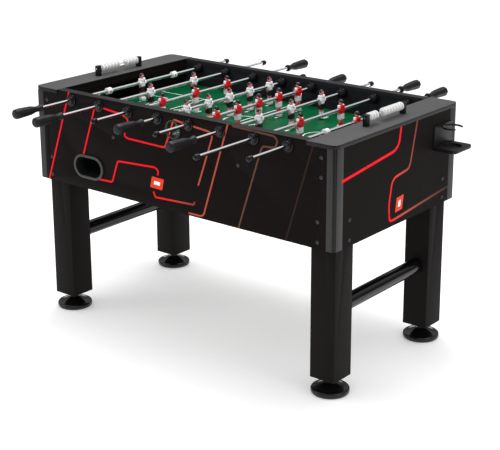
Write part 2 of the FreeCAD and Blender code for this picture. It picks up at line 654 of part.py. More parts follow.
# ---- all the nodes ------------------------------------------------------------------------------
def all_nodes():
    front = side_panel()
    right_end = end_panel()
    right_board = top_board()
    wall = goal_wall()
    holder = cup_holder()
    nodes = {
        "front_side_panel": front,
        "rear_side_panel": half_turn(front),
        "end_panels": group([half_turn(right_end), right_end]),
        "goal_walls": group([half_turn(wall), wall]),
        "top_boards": group([half_turn(right_board), right_board]),
        "corner_posts": corner_posts(),
        "playfield": playfield(),
        "playfield_frame": playfield_frame(),
        "ball_runways": ball_runways(),
        "ball_return_bezels": ball_return_bezels(),
        "ball_entry_cups": ball_entry_cups(),
        "legs": legs(),
        "leg_braces": leg_braces(),
        "panel_screws": panel_screws(),
        "bearing_housings": at_both_sides(housing),
        "bearing_nuts": at_both_sides(bearing_nut),
        "rod_bumpers": at_both_sides(rod_bumper),
        "scorer_posts": scorer_posts(),
        "scorer_wires": scorer_wires(),
        "cup_holders": group([mirrored(holder, X_AXIS), holder]),
    }
    for (sx, sy) in CORNERS:
        name = "foot_%s_%s" % ("front" if sy < 0 else "rear", "left" if sx < 0 else "right")
        nodes[name] = levelling_foot(sx, sy)
    nodes["left_scorer_beads_front"] = bead_pile(-SCORER_X, LEFT_BEADS[0], -1)
    nodes["left_scorer_beads_rear"] = bead_pile(-SCORER_X, LEFT_BEADS[1], 1)
    nodes["right_scorer_beads_front"] = bead_pile(SCORER_X, RIGHT_BEADS[0], -1)
    nodes["right_scorer_beads_rear"] = bead_pile(SCORER_X, RIGHT_BEADS[1], 1)
    for number, (x, rod) in enumerate(zip(ROD_X, RODS), 1):
        nodes["rod_%d_tube" % number] = rod_tube(x, rod)
        nodes["rod_%d_figures" % number] = rod_figures(x, rod)
        nodes["rod_%d_grip_and_cap" % number] = rod_grip_and_cap(x, rod)
        nodes["rod_%d_sleeves" % number] = rod_sleeves(x)
    return nodes


LEFT_BEADS = (6, 4)            # beads at the front post and at the rear post
RIGHT_BEADS = (3, 7)


def main():
    os.makedirs("parts", exist_ok=True)
    nodes = all_nodes()
    for name, shape in nodes.items():
        solids = shape.Solids
        assert solids and all(solid.isValid() for solid in solids), name
        shape.exportStep("parts/%s.step" % name)
        print(name, len(solids), "solids,", round(sum(s.Volume for s in solids) / 1000), "cm3")
    for number, rod in enumerate(RODS, 1):
        low, high = rod_travel(rod)
        print("travel rod_%d %.1f %.1f" % (number, low, high))
    print("travel left_beads", round(bead_room(*LEFT_BEADS), 2), "right_beads", round(bead_room(*RIGHT_BEADS), 2))
    print(len(nodes), "nodes")


main()
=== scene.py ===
# %% [markdown]
# # A foosball table, finished in Blender
# The CAD model gives every piece its place and its size. This lesson loads it as a fixed frame and adds what
# the eye looks for: rounded edges, laminate, chrome, moulded plastic, painted players and printed stripes.
# Every length is in metres. X runs along the table, -Y is the front, and Z is up from the floor.

# %% Load the frame
import bpy
import json
from math import cos, pi, radians, sin, tau
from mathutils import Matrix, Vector


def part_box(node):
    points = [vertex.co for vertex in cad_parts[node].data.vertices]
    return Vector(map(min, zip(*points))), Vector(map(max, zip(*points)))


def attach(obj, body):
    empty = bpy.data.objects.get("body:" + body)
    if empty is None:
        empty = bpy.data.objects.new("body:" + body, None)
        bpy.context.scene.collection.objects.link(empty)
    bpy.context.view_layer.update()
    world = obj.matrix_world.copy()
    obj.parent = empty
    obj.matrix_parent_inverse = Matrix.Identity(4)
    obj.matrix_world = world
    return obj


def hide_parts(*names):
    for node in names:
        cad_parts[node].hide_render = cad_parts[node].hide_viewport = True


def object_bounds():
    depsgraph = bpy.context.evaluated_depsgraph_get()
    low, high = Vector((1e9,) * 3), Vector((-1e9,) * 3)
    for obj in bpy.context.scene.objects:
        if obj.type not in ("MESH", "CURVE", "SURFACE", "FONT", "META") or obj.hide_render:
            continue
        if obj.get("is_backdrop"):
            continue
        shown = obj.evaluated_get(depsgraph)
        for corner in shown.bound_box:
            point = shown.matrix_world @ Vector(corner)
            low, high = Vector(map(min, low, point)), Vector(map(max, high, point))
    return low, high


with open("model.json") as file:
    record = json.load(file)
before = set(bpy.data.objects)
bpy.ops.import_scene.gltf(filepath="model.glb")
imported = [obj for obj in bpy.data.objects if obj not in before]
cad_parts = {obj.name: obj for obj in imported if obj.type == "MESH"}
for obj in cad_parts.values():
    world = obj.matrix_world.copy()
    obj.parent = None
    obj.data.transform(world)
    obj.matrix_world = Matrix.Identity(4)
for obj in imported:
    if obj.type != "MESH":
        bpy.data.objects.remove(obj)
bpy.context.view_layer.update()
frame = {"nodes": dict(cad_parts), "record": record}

# %% [markdown]
# ## Camera
# A table is seen well from one corner, a little above its boards. The lens is long, so that the legs stay
# nearly upright, and it is shifted a little, as an architect's is, for the same reason.

# %% The camera
AZIMUTH, ELEVATION, DISTANCE = radians(38.136), radians(16.438), 4.788
CAMERA_TARGET = Vector((0.1240, 0, 0.6516))
LENS_MM, SENSOR_MM, SHIFT_X, SHIFT_Y = 93.04, 36, -0.0356, -0.12
to_camera = Vector((sin(AZIMUTH) * cos(ELEVATION), -cos(AZIMUTH) * cos(ELEVATION), sin(ELEVATION)))
lens = bpy.data.cameras.new("table_camera")
lens.lens, lens.sensor_width, lens.shift_x, lens.shift_y = LENS_MM, SENSOR_MM, SHIFT_X, SHIFT_Y
camera = bpy.data.objects.new("table_camera", lens)
camera.location = CAMERA_TARGET + to_camera * DISTANCE
camera.rotation_mode = "QUATERNION"
camera.rotation_quaternion = (-to_camera).to_track_quat("-Z", "Y")
bpy.context.scene.collection.objects.link(camera)
bpy.context.scene.camera = camera
bpy.context.scene.view_settings.view_transform = "Standard"
print("camera at", [round(v, 2) for v in camera.location])

# %% [markdown]
# ## Colours and nodes
# Colours are written as the eye knows them, in sRGB hex, and a shader wants them linear. One function turns
# them. A second adds any shader node with its settings and its links, and a third starts a finish with its
# constants set on the shader itself. The last two give it a grain, because no real surface is even.

# %% Colour and node helpers
def linear(hex_colour):
    """An sRGB hex colour as the linear RGBA that a shader takes."""
    parts = [int(hex_colour[i:i + 2], 16) / 255 for i in (1, 3, 5)]
    return (*[c / 12.92 if c <= 0.04045 else ((c + 0.055) / 1.055) ** 2.4 for c in parts], 1.0)


def add_node(finish, kind, settings=None, links=None):
    """Adds a node to a finish or to the world, sets its properties and sockets by name, and links its inputs."""
    node = finish.node_tree.nodes.new("ShaderNode" + kind)
    for name, value in (settings or {}).items():
        if isinstance(name, str) and hasattr(node, name):
            setattr(node, name, value)
        else:
            node.inputs[name].default_value = value
    for name, output in (links or {}).items():
        finish.node_tree.links.new(output, node.inputs[name])
    return node


def new_finish(name, colour, roughness, metallic=0.0, **sockets):
    """A finish whose constants are on the shader's own sockets."""
    finish = bpy.data.materials.new(name)
    finish.use_nodes = True
    shader = finish.node_tree.nodes["Principled BSDF"]
    shader.inputs["Base Color"].default_value = linear(colour)
    shader.inputs["Roughness"].default_value = roughness
    shader.inputs["Metallic"].default_value = metallic
    for socket, value in sockets.items():
        shader.inputs[socket.replace("_", " ")].default_value = value
    return finish


def grain(finish, size, stretch=(1, 1, 1), colours=None, roughness=None, height=0.0):
    """Noise of a real grain size in metres, drawn out by stretch. It can tint, dull and raise the surface."""
    links = finish.node_tree.links
    shader = finish.node_tree.nodes["Principled BSDF"]
    place = add_node(finish, "TexCoord")
    drawn = add_node(finish, "Mapping", {"Scale": [1 / (size * s) for s in stretch]},
                     {"Vector": place.outputs["Object"]})
    noise = add_node(finish, "TexNoise", {"Scale": 1.0, "Detail": 3.0}, {"Vector": drawn.outputs["Vector"]})
    if colours:
        ramp = add_node(finish, "ValToRGB", None, {"Fac": noise.outputs["Fac"]})
        for element, position, colour in zip(ramp.color_ramp.elements, (0.3, 0.7), colours):
            element.position, element.color = position, linear(colour)
        links.new(ramp.outputs["Color"], shader.inputs["Base Color"])
    if roughness:
        spread = add_node(finish, "MapRange", {"From Min": 0.3, "From Max": 0.7, "To Min": roughness[0],
                                               "To Max": roughness[1]}, {"Value": noise.outputs["Fac"]})
        links.new(spread.outputs["Result"], shader.inputs["Roughness"])
    if height:
        bump = add_node(finish, "Bump", {"Strength": 1.0, "Distance": height}, {"Height": noise.outputs["Fac"]})
        links.new(bump.outputs["Normal"], shader.inputs["Normal"])
    return finish


def textured(name, colours, roughness, size, stretch=(1, 1, 1), height=0.0, **sockets):
    """A finish whose colour and roughness wander between two values with its grain."""
    return grain(new_finish(name, colours[1], roughness[1], **sockets), size, stretch, colours, roughness, height)


print("a mid grey is", [round(v, 4) for v in linear("#808080")[:3]], "to a shader")

# %% [markdown]
# ## Light and floor
# Studio pictures of black furniture use big soft lights, so that each edge catches a long soft line and the
# faces stay dark. One large light hangs above, one stands at the left front and one at the right.

# %% Lights and floor
LIGHT_TARGET = Vector((0, 0, 0.6))


def soft_light(name, place, width, height, power):
    """A rectangular light in metres and watts, turned to the middle of the table."""
    data = bpy.data.lights.new(name, "AREA")
    data.shape, data.size, data.size_y, data.energy = "RECTANGLE", width, height, power
    light = bpy.data.objects.new(name, data)
    light.location = place
    light.rotation_mode = "QUATERNION"
    light.rotation_quaternion = (LIGHT_TARGET - Vector(place)).to_track_quat("-Z", "Y")
    bpy.context.scene.collection.objects.link(light)


soft_light("overhead_light", (-0.3, 0.5, 3.6), 2.2, 1.5, 70)
soft_light("left_light", (-3.4, -3.0, 2.4), 1.4, 2.2, 22)
soft_light("right_light", (4.2, -0.4, 2.0), 1.2, 2.2, 15)

world = bpy.data.worlds.new("studio_air")
world.use_nodes = True
air = world.node_tree.nodes["Background"]
air.inputs["Color"].default_value = linear("#ffffff")
# The air lights the table evenly. In reflections it is dark near the horizon and bright overhead, as in a
# studio with black screens round the table, so that gloss keeps its contrast.
rays = add_node(world, "LightPath")
heading = add_node(world, "SeparateXYZ", None, {"Vector": add_node(world, "TexCoord").outputs["Generated"]})
screens = add_node(world, "MapRange", {"From Min": 0.25, "From Max": 0.8, "To Min": 0.12, "To Max": 1.1},
                   {"Value": heading.outputs["Z"]})
flagged = add_node(world, "MapRange", {"To Min": 0.98}, {"Value": rays.outputs["Is Glossy Ray"],
                                                        "To Max": screens.outputs["Result"]})
world.node_tree.links.new(flagged.outputs["Result"], air.inputs["Strength"])
bpy.context.scene.world = world

# Painted studio floor: matt, nearly white, with a very slow unevenness, and lit a little from within.
floor_paint = new_finish("painted_studio_floor", "#f6f6f6", 0.9, Specular_IOR_Level=0.1, Emission_Strength=0.2)
floor_paint.node_tree.nodes["Principled BSDF"].inputs["Emission Color"].default_value = linear("#ffffff")
grain(floor_paint, 0.6, colours=("#f4f4f4", "#f8f8f8"))
bpy.ops.object.select_all(action="DESELECT")
bpy.ops.mesh.primitive_plane_add(size=60, location=(0, 0, -0.0005))
floor = bpy.context.object
floor.name = "studio_floor"
bpy.ops.object.transform_apply(location=True, rotation=True, scale=True)
floor.data.materials.append(floor_paint)
floor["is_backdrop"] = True

# %% [markdown]
# ## Tools for shaping
# Everything below is shaped as it would be by hand: add a primitive, go into edit mode, choose faces or edges
# by where they are, and extrude, inset, bevel, scale or spin them. These helpers keep each step to one line.

# %% Shaping helpers
def begin(name, finish):
    """Names the primitive just added, gives it its finish and puts its place into its mesh."""
    piece = bpy.context.object
    piece.name = piece.data.name = name
    piece.data.materials.append(finish)
    bpy.ops.object.transform_apply(location=True, rotation=True, scale=True)
    return piece


def alone(piece):
    """Selects this piece only, and makes it the active one."""
    bpy.ops.object.select_all(action="DESELECT")
    piece.select_set(True)
    bpy.context.view_layer.objects.active = piece


def choose(piece, kind, test):
    """Goes into edit mode with just the vertices, edges or faces selected whose middle passes the test."""
    if bpy.context.object.mode == "EDIT":
        bpy.ops.object.mode_set(mode="OBJECT")
    mesh = piece.data
    for part in (*mesh.vertices, *mesh.edges, *mesh.polygons):
        part.select = False
    if kind == "FACE":
        for face in mesh.polygons:
            face.select = test(face.center, face.normal)
    else:
        for edge in mesh.edges:
            ends = [mesh.vertices[i].co for i in edge.vertices]
            edge.select = test((ends[0] + ends[1]) / 2, (ends[1] - ends[0]).normalized())
    bpy.ops.object.mode_set(mode="EDIT")
    bpy.ops.mesh.select_mode(type=kind)


def whole():
    """Goes into edit mode on the active piece with everything selected, down to its vertices."""
    bpy.ops.object.mode_set(mode="EDIT")
    bpy.ops.mesh.select_mode(type="VERT")
    bpy.ops.mesh.select_all(action="SELECT")


def done(piece, angle=35):
    """Back to object mode, smooth except over edges sharper than the angle."""
    if bpy.context.object.mode == "EDIT":
        bpy.ops.object.mode_set(mode="OBJECT")
    alone(piece)
    bpy.ops.object.shade_smooth_by_angle(angle=radians(angle))
    return piece


def modify(piece, label, kind, **settings):
    """Adds a modifier with its settings and applies it."""
    modifier = piece.modifiers.new(label, kind)
    for name, value in settings.items():
        setattr(modifier, name, value)
    bpy.ops.object.modifier_apply(modifier=modifier.name)


def round_edges(piece, width, segments=2, angle=40):
    """Rounds every edge sharper than the angle, with a bevel that is then applied."""
    alone(piece)
    modify(piece, "rounded_edges", "BEVEL", width=width, segments=segments, limit_method="ANGLE",
           angle_limit=radians(angle))
    return done(piece)


def block(name, low, high, finish, rounding=0.001, taper=None, segments=2):
    """A block between two corners. taper scales its lower end, and its edges are rounded."""
    low, high = Vector(low), Vector(high)
    bpy.ops.object.select_all(action="DESELECT")
    bpy.ops.mesh.primitive_cube_add(size=1, location=(low + high) / 2, scale=high - low)
    piece = begin(name, finish)
    if taper:
        choose(piece, "FACE", lambda c, n: n.z < -0.9)
        bpy.ops.transform.resize(value=(*taper, 1), center_override=(*((low + high) / 2).xy, low.z))
        done(piece)
    return round_edges(piece, rounding, segments)


def draw_line(name, points, finish):
    """One vertex, extruded from point to point. The line is left in edit mode, selected all over."""
    bpy.ops.object.select_all(action="DESELECT")
    bpy.ops.mesh.primitive_plane_add(size=0.001, location=points[0])
    piece = begin(name, finish)
    whole()
    bpy.ops.mesh.merge(type="CENTER")
    for here, there in zip(points, points[1:]):
        bpy.ops.mesh.extrude_vertices_move(TRANSFORM_OT_translate={"value": there - here})
    bpy.ops.mesh.select_all(action="SELECT")
    return piece


def turn(name, profile, origin, axis, finish, steps=40, angle=35):
    """Lathe work: draws (along, radius) points beside the axis, then spins that line a full turn about it."""
    origin, axis = Vector(origin), Vector(axis)
    out = Vector((0, 0, 1)) if abs(axis.z) < 0.5 else Vector((1, 0, 0))
    piece = draw_line(name, [origin + axis * along + out * radius for along, radius in profile], finish)
    bpy.ops.mesh.spin(steps=steps, angle=tau, center=origin, axis=axis)
    bpy.ops.mesh.select_all(action="SELECT")
    bpy.ops.mesh.remove_doubles(threshold=0.00001)
    bpy.ops.mesh.normals_make_consistent(inside=False)
    return done(piece, angle)


def copy_at(piece, name, move=(0, 0, 0), half_turn=False):
    """Another of the same piece with its own mesh, turned half round about Z if asked, then moved."""
    made = piece.copy()
    made.data = piece.data.copy()
    made.name = made.data.name = name
    bpy.context.scene.collection.objects.link(made)
    alone(made)
    if half_turn:
        made.rotation_mode = "XYZ"
        made.rotation_euler = (0, 0, pi)
    made.location = move
    bpy.ops.object.transform_apply(location=True, rotation=True, scale=True)
    return made


def joined(name, pieces):
    """Several pieces as one object, each keeping its finish."""
    bpy.ops.object.select_all(action="DESELECT")
    for piece in pieces:
        piece.select_set(True)
    bpy.context.view_layer.objects.active = pieces[0]
    bpy.ops.object.join()
    pieces[0].name = pieces[0].data.name = name
    return pieces[0]


def drop(*pieces):
    """Removes the pieces that were only there to be copied."""
    for piece in pieces:
        bpy.data.objects.remove(piece)


def settle(piece, body, node=None):
    """Says which body a piece moves with, and hides the CAD node it replaces."""
    if node:
        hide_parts(node)
    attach(piece, body)
    return piece


def cad_copy(node, name, finish, rounding):
    """A copy of a CAD node with its loose triangles joined, its flat faces made whole and, unless rounding is 0, its
    edges rounded.
    """
    piece = bpy.data.objects.new(name, frame["nodes"][node].data.copy())
    bpy.context.scene.collection.objects.link(piece)
    alone(piece)
    bpy.ops.mesh.customdata_custom_splitnormals_clear()
    piece.data.materials.clear()
    piece.data.materials.append(finish)
    whole()
    bpy.ops.mesh.remove_doubles(threshold=0.00001)
    bpy.ops.mesh.dissolve_limited(angle_limit=radians(0.5))
    bpy.ops.object.mode_set(mode="OBJECT")
    for face in piece.data.polygons:
        face.material_index = 0
    if rounding:
        round_edges(piece, rounding)
    return done(settle(piece, body_of[node], node))


def refinish(piece, finish, test):
    """Gives the faces that pass the test a second finish."""
    piece.data.materials.append(finish)
    index = len(piece.data.materials) - 1
    for face in piece.data.polygons:
        if test(face.center, face.normal):
            face.material_index = index


def centre_of(node):
    """The middle of a CAD node's box."""
    low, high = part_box(node)
    return (low + high) / 2


body_of = {node: body for body, nodes in frame["record"]["behaviour"]["bodies"].items() for node in nodes}

# %% [markdown]
# ## Laminated boards
# The cabinet and the legs are MDF faced with melamine film. The film is printed nearly black and matt, with a
# fine pressed grain, so it shows only a faint sheen. The boards at the two ends are grey, with ABS edge bands.

# %% Finishes of the boards
# Black melamine film on MDF: a warm black, matt, with a pressed grain about 1 mm wide and 20 mm long.
black_film = textured("black_melamine_film", ("#110d0c", "#151110"), (0.54, 0.66), 0.0012, (18, 18, 1), 0.00003,
                      Specular_IOR_Level=0.04)

# The film inside the cabinet: a cooler, slightly lighter black.
inner_film = textured("inner_melamine_film", ("#1e1e22", "#242428"), (0.5, 0.62), 0.0012, (18, 18, 1), 0.00003,
                      Specular_IOR_Level=0.06)

# Leg film: the same film in a slightly browner print, with its grain upright. Drawn coarse, to show.
leg_film = textured("leg_melamine_film", ("#12100f", "#181514"), (0.48, 0.62), 0.0015, (1, 1, 24), 0.00003,
                    Specular_IOR_Level=0.06)

# Grey melamine film on the end boards: a mid grey with a brushed-looking grain that runs across the table.
grey_film = textured("grey_melamine_film", ("#454545", "#505050"), (0.44, 0.58), 0.0014, (1, 30, 1), 0.00003,
                     Specular_IOR_Level=0.12)

# Extruded ABS edge band: darker grey, smooth, a little shinier than the film.
edge_band = textured("abs_edge_band", ("#262426", "#2d2b2d"), (0.34, 0.44), 0.004, (6, 6, 1), Specular_IOR_Level=0.1)

# Dark PVC trim on the two short edges of each board: almost black, with a cool cast.
end_trim = textured("dark_pvc_trim", ("#1a1a20", "#212128"), (0.36, 0.46), 0.004, (1, 6, 6), Specular_IOR_Level=0.12)

# Extruded PVC corner profile: a grey like the edge band, with faint lines from the die along its length.
corner_pvc = textured("extruded_corner_pvc", ("#323232", "#393939"), (0.34, 0.46), 0.0012, (1, 1, 80), 0.00003,
                      Specular_IOR_Level=0.1)

# Black PVC strip in the groove of the corner profile: smoother, so it takes one narrow line of light.
groove_pvc = textured("black_groove_pvc", ("#0c0c0c", "#111111"), (0.24, 0.36), 0.0012, (1, 1, 80),
                      Specular_IOR_Level=0.2)
print("board finishes:", black_film.name, leg_film.name, grey_film.name)

# %% [markdown]
# ## Cabinet boards
# The boards already have their right shape in CAD, but their edges are perfectly sharp, and a real edge
# catches light. Each is copied and its triangles are joined into flat faces, and all but the end boards get a
# small bevel. Then the faces are given film or edge band by the way they look.

# %% Cabinet boards
top_boards = cad_copy("top_boards", "end_board_tops", edge_band, 0.0012)
refinish(top_boards, grey_film, lambda c, n: n.z > 0.95)
refinish(top_boards, end_trim, lambda c, n: abs(n.y) > 0.9 and abs(n.z) < 0.5)
refinish(top_boards, groove_pvc, lambda c, n: abs(n.x) > 0.1 and abs(n.y) > 0.1 and abs(n.z) < 0.5)
refinish(top_boards, black_film, lambda c, n: n.x * c.x < -0.5)
for node in ("front_side_panel", "rear_side_panel"):
    panel = cad_copy(node, node.replace("panel", "board"), black_film, 0.0008)
    refinish(panel, edge_band, lambda c, n: n.z > 0.9 and c.z > 0.9)
    refinish(panel, inner_film, lambda c, n: n.y * c.y < -0.3)
cad_copy("end_panels", "end_boards", black_film, 0)
cad_copy("goal_walls", "goal_boards", black_film, 0.0008)
cad_copy("legs", "square_legs", leg_film, 0.0012)
board_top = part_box("top_boards")[1].z
panel_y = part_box("rear_side_panel")[1].y
end_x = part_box("corner_posts")[1].x
print("boards up to", round(1000 * board_top), "mm, panel face at", round(1000 * panel_y), "mm")

# %% [markdown]
# ## Corner profiles
# Each corner is covered by an extruded profile: two grey wings and a black strip in the groove between them.
# The wings come from CAD. The strip is a thin rod that stands a little out of the groove, with its two ends
# inset, so that it catches one narrow line of light from top to bottom.

# %% Corner profiles
corner_posts = cad_copy("corner_posts", "corner_profiles", corner_pvc, 0.0006)
refinish(corner_posts, groove_pvc, lambda c, n: abs(n.x) > 0.4 and abs(n.y) > 0.4)
post_low, post_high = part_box("corner_posts")
STRIP_IN, STRIP_R, STRIP_SHORT = 0.0052, 0.0026, 0.002
strips = []
for sx in (-1, 1):
    for sy in (-1, 1):
        bpy.ops.object.select_all(action="DESELECT")
        bpy.ops.mesh.primitive_cylinder_add(
            vertices=20, radius=STRIP_R, depth=post_high.z - post_low.z - STRIP_SHORT,
            location=(sx * (end_x - STRIP_IN), sy * (panel_y - STRIP_IN), (post_low.z + post_high.z) / 2))
        strip = begin("groove_strip_%d" % len(strips), groove_pvc)
        choose(strip, "FACE", lambda c, n: abs(n.z) > 0.9)
        bpy.ops.mesh.inset(thickness=0.0006, depth=0.0006)
        strips.append(done(strip))
groove_strips = settle(joined("groove_strips", strips), "cabinet")
print("corner strips:", len(groove_strips.data.polygons), "faces")

# %% [markdown]
# ## Printed stripes
# The film is printed with thin angular stripes that run from red through copper to a dim brown. A stripe is a
# line with rounded corners: one vertex is extruded from point to point, the line is pushed out from the panel
# by the thickness of ink, and Solidify gives it its width.

# %% Stripe inks
# Screen-printed ink under the film's clear coat: as matt as the film, in saturated colours.
def plain_ink(name, *colours):
    """Ink of one colour, with the slight mottling of a screen print."""
    return textured(name, colours, (0.4, 0.52), 0.002, Specular_IOR_Level=0.05)


RED = "#e81020"
red_ink = plain_ink("red_screen_ink", "#e40e1e", "#ec1222")
copper_ink = plain_ink("copper_screen_ink", "#a04436", "#b04e3c")
brown_ink = plain_ink("brown_screen_ink", "#54382c", "#5f4134")
dim_ink = plain_ink("dim_brown_screen_ink", "#271a13", "#2d2017")


def fading_ink(name, axis, stops):
    """Ink that fades from colour to colour along X or Y, at the given places in metres."""
    ink = new_finish(name, stops[0][1], 0.5, Specular_IOR_Level=0.05)
    split = add_node(ink, "SeparateXYZ", None, {"Vector": add_node(ink, "TexCoord").outputs["Object"]})
    first, last = stops[0][0], stops[-1][0]
    along = add_node(ink, "MapRange", {"From Min": first, "From Max": last}, {"Value": split.outputs[axis]})
    ramp = add_node(ink, "ValToRGB", None, {"Fac": along.outputs["Result"]})
    elements = ramp.color_ramp.elements
    while len(elements) < len(stops):
        elements.new(0.5)
    for element, (spot, colour) in zip(elements, stops):
        element.position, element.color = (spot - first) / (last - first), linear(colour)
    ink.node_tree.links.new(ramp.outputs["Color"], ink.node_tree.nodes["Principled BSDF"].inputs["Base Color"])
    return ink


front_fade = fading_ink("red_to_copper_ink", "X",
                        [(-0.2, RED), (-0.06, "#dc1f22"), (0.02, "#c04a38"), (0.18, "#a04838")])
right_fade = fading_ink("copper_to_red_ink", "Y",
                        [(-0.06, RED), (-0.02, "#d93a33"), (0.05, "#9a4636"), (0.11, "#7a3a2e")])
low_fade = fading_ink("red_to_brown_ink", "Y",
                      [(-0.05, RED), (0.02, "#b8463a"), (0.17, "#704234"), (0.335, "#2e211a")])
under_fade = fading_ink("red_to_dull_copper_ink", "X",
                        [(-0.1, RED), (-0.04, "#d8201f"), (0.03, "#b03a2c"), (0.097, "#7d382b")])
print("inks ready:", red_ink.name, front_fade.name, right_fade.name)

# %% Stripes
INK, STRIPE = 0.0004, 0.0068          # how thick the ink is drawn, and how wide most stripes are


def bent(points, bend):
    """The same line with each corner drawn as a small curve that starts and ends bend away from it."""
    points = [Vector(p) for p in points]
    line = points[:1]
    for before, corner, after in zip(points, points[1:], points[2:]):
        reach = min(bend, 0.45 * (corner - before).length, 0.45 * (after - corner).length)
        start = corner + (before - corner).normalized() * reach
        end = corner + (after - corner).normalized() * reach
        line += [start.lerp(corner, t).lerp(corner.lerp(end, t), t) for t in (0, 0.2, 0.4, 0.6, 0.8, 1)]
    return line + points[-1:]


def stripe(name, points, bend, width, finish):
    """points are (x, y, z) on a panel's face; bend rounds the corners, and the ink stands out from the face."""
    points = bent(points, bend)
    faces_front = max(p.y for p in points) - min(p.y for p in points) < 1e-6
    out = Vector((0, -1, 0)) if faces_front else Vector((1, 0, 0))
    piece = draw_line(name, points, finish)
    bpy.ops.mesh.extrude_edges_move(TRANSFORM_OT_translate={"value": out * INK})
    bpy.ops.object.mode_set(mode="OBJECT")
    modify(piece, "ink_width", "SOLIDIFY", thickness=width, offset=0, use_even_offset=True)
    whole()
    bpy.ops.mesh.normals_make_consistent(inside=False)
    return settle(done(piece), "cabinet")


def on_far_side(piece):
    """The same print half a turn round the table, on the rear or the left end."""
    return settle(copy_at(piece, "far_" + piece.name, half_turn=True), "cabinet")


def on_front(pairs):
    return [(x, -panel_y, z) for x, z in pairs]


def on_right(pairs):
    return [(end_x, y, z) for y, z in pairs]


EDGE = board_top - 0.0002
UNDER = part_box("corner_posts")[1].z
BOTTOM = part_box("front_side_panel")[0].z + 0.0003
stripes = [
    stripe("stripe_a", on_front([(-0.5195, EDGE), (-0.649, BOTTOM)]), 0.001, STRIPE, red_ink),
    stripe("stripe_b", on_front([(-0.388, 0.861), (-0.4545, 0.676)]), 0.001, STRIPE, red_ink),
    stripe("stripe_c_red", on_front([(-0.343, 0.871), (-0.246, 0.862), (-0.217, 0.849), (-0.238, 0.783),
                                     (-0.220, 0.777), (-0.040, 0.774), (-0.016, 0.830), (0.004, 0.884),
                                     (0.045, 0.878), (0.171, 0.866), (0.182, 0.852), (0.114, 0.663)]),
           0.010, STRIPE, front_fade),
    stripe("stripe_d", on_front([(0.2505, EDGE), (0.138, 0.562), (0.126, 0.553), (0.067, 0.553)]), 0.006,
           STRIPE, copper_ink),
    stripe("stripe_e", on_front([(-0.386, 0.5925), (-0.362, 0.594), (-0.307, 0.5955), (-0.276, 0.682),
                                 (-0.088, 0.692), (-0.074, 0.680), (-0.078, 0.665)]), 0.010, STRIPE, red_ink),
    stripe("stripe_f", on_front([(-0.100, 0.600), (-0.092, 0.580), (0.091, 0.588), (0.097, 0.600)]), 0.004,
           0.0072, under_fade),
    stripe("stripe_g", on_front([(0.271, EDGE), (0.272, 0.903), (0.448, 0.898), (0.464, 0.884),
                                 (0.453, 0.858), (0.402, 0.855), (0.394, 0.843), (0.294, BOTTOM)]), 0.008,
           STRIPE, brown_ink),
    stripe("stripe_h", on_front([(0.607, UNDER), (0.4975, BOTTOM)]), 0.001, STRIPE, dim_ink),
    stripe("stripe_i", on_right([(-0.344, 0.778), (-0.031, 0.813), (-0.005, 0.832), (0.005, UNDER)]), 0.020,
           0.0100, red_ink),
    stripe("stripe_j", on_right([(0.109, UNDER), (0.071, 0.745), (0.058, 0.728), (-0.026, 0.718),
                                 (-0.044, 0.702), (-0.059, 0.627), (-0.056, 0.588)]), 0.016, 0.0086, right_fade),
    stripe("stripe_k", on_right([(-0.0565, 0.590), (-0.051, 0.566), (-0.030, 0.565), (0.335, 0.598)]), 0.010,
           0.0092, low_fade),
]
stripes += [on_far_side(s) for s in stripes]
print(len(stripes), "stripes")

# %% [markdown]
# The small badges are plain slanted squares, each one a thin plate whose face is inset, and whose middle is
# white. They carry no mark.

# %% Badges
# Orange-red ink of the badges, a little glossier than the stripes.
badge_ink = textured("orange_badge_ink", ("#d63615", "#e23f1a"), (0.3, 0.42), 0.002, Specular_IOR_Level=0.1)
# White ink of the plain shape in the middle.
pale_ink = new_finish("white_badge_ink", "#f2f2f2", 0.4)
grain(pale_ink, 0.002, colours=("#ececec", "#f6f6f6"))


BADGE_RIM = 0.0145


def badge(name, corners, out):
    """A flat plate between four corners of a panel's face, with a small white one in its middle."""
    out = Vector(out)
    bpy.ops.object.select_all(action="DESELECT")
    bpy.ops.mesh.primitive_plane_add(size=1)
    piece = begin(name, badge_ink)
    for vertex, corner in zip(piece.data.vertices, (corners[0], corners[1], corners[3], corners[2])):
        vertex.co = corner
    whole()
    bpy.ops.mesh.extrude_region_move(TRANSFORM_OT_translate={"value": out * INK})
    bpy.ops.mesh.select_all(action="SELECT")
    bpy.ops.mesh.normals_make_consistent(inside=False)
    bpy.ops.object.mode_set(mode="OBJECT")
    choose(piece, "FACE", lambda c, n: n.dot(out) > 0.9)
    bpy.ops.mesh.inset(thickness=BADGE_RIM)
    bpy.ops.object.mode_set(mode="OBJECT")
    middle = sum((Vector(c) for c in corners), Vector()) / 4
    refinish(piece, pale_ink, lambda c, n: n.dot(out) > 0.9 and (c - middle).length < 0.003)
    return done(settle(piece, "cabinet"))


badges = [
    badge("front_badge", on_front([(-0.116, 0.614), (-0.106, 0.656), (-0.048, 0.654), (-0.058, 0.612)]), (0, -1, 0)),
    badge("right_badge", on_right([(-0.019, 0.589), (-0.011, 0.640), (0.033, 0.643), (0.025, 0.592)]), (1, 0, 0)),
]
badges += [on_far_side(piece) for piece in badges]
print(len(badges), "badges")

# %% [markdown]
# ## Playfield
# The pitch is a printed board: green with white lines, under a clear hard coat that mirrors the players a
# little. The lines are thin raised ink. Straight ones are flat blocks, and the round ones are lathe rings.

# %% Playfield finish and timber
# Printed green MDF under clear lacquer: mottled green ink, smooth and slightly glossy.
pitch_green = textured("lacquered_green_print", ("#044a2a", "#095b38"), (0.24, 0.38), 0.05, (1, 2, 1),
                       Specular_IOR_Level=0.05)
# Opaque white screen ink on the pitch.
pitch_white = textured("white_pitch_ink", ("#dfe2df", "#ececec"), (0.34, 0.46), 0.003)
